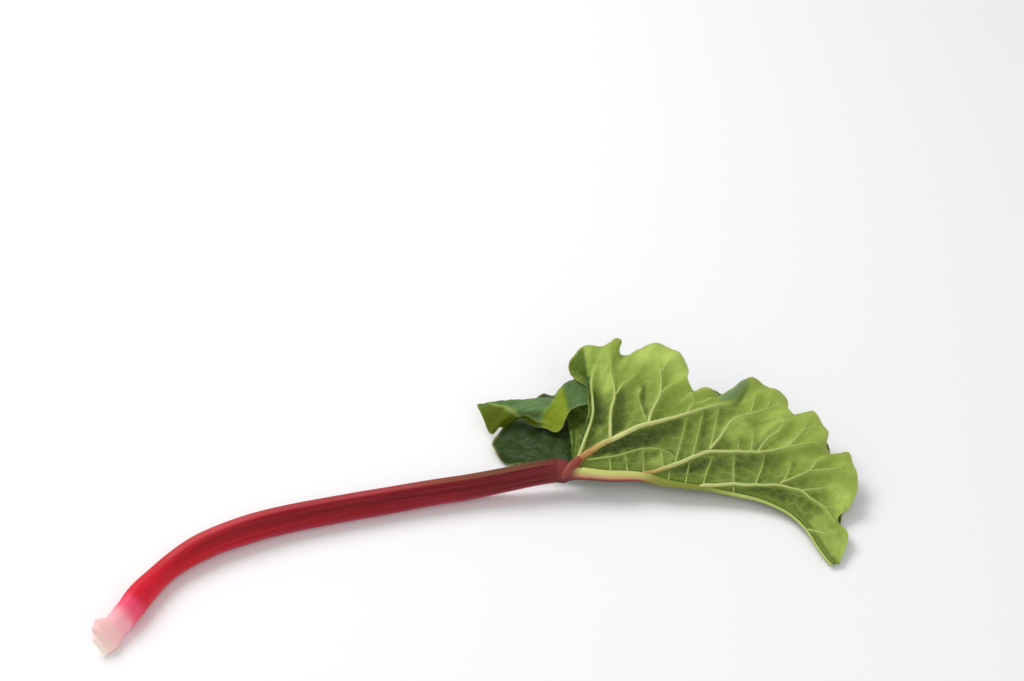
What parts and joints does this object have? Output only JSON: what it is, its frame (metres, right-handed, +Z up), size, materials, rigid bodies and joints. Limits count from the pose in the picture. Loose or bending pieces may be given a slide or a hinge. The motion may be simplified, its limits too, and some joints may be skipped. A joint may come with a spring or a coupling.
{
  "type": "rhubarb stalk",
  "caption": "Fresh rhubarb leaf stalk lying down, its leaf folded along the midrib: a fleshy stalk with a flared butt and a waved blade with raised ribs.",
  "frame": {"origin": "middle of the object's bounds in plan, at the table surface it lies on", "axes": "+X along the object towards the leaf tip, +Y from the folded edge of the leaf towards its free margin, +Z up"},
  "size_m": [0.5597, 0.2951, 0.0624],
  "materials": {
    "stalk_skin": "soft sheen, crimson, pale pink at the butt",
    "rib_skin": "satin, pale yellow-green, red at the knuckle",
    "leaf_skin": "matte, pale green underside, darker upper side"
  },
  "bodies": {
    "root": {"stalk": "stalk_skin", "leaf_ribs": "rib_skin", "leaf_blade": "leaf_skin"}
  },
  "joints": []
}
